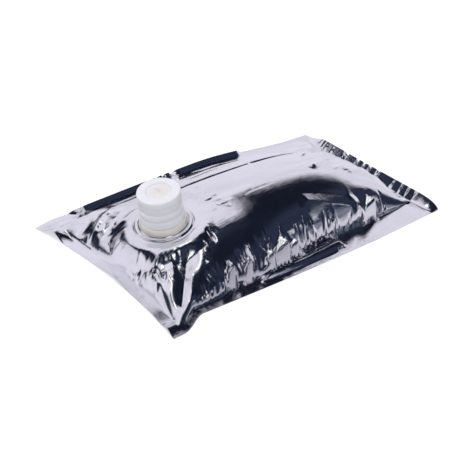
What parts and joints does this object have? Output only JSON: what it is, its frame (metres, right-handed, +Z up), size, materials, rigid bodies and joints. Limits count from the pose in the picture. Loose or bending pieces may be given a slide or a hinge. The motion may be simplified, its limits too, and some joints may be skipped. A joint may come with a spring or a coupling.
{
  "type": "filled bag-in-box liner bag",
  "caption": "Filled metallised film bag with heat-sealed edges, a welded spout near one end and a push-on cap, for dispensing liquid from a carton.",
  "frame": {"origin": "centre of the bag's outline at the height of the flat patch it rests on", "axes": "+X along the bag away from the spout end, +Y across it, +Z up through the film that carries the spout"},
  "size_m": [0.374, 0.19, 0.0747],
  "materials": {
    "metallised_film": "bright metallised film, wrinkled",
    "spout_plastic": "natural polyethylene, satin",
    "cap_plastic": "translucent natural polyethylene, satin"
  },
  "bodies": {
    "bag": {"film_bag": "metallised_film", "spout": "spout_plastic"},
    "cap": {"cap": "cap_plastic"}
  },
  "joints": [
    {"name": "cap_pull", "type": "slide", "parent": "bag", "child": "cap", "axis": [-0.2488, 0.0713, 0.9659], "range_m": [0, 0.04]}
  ]
}
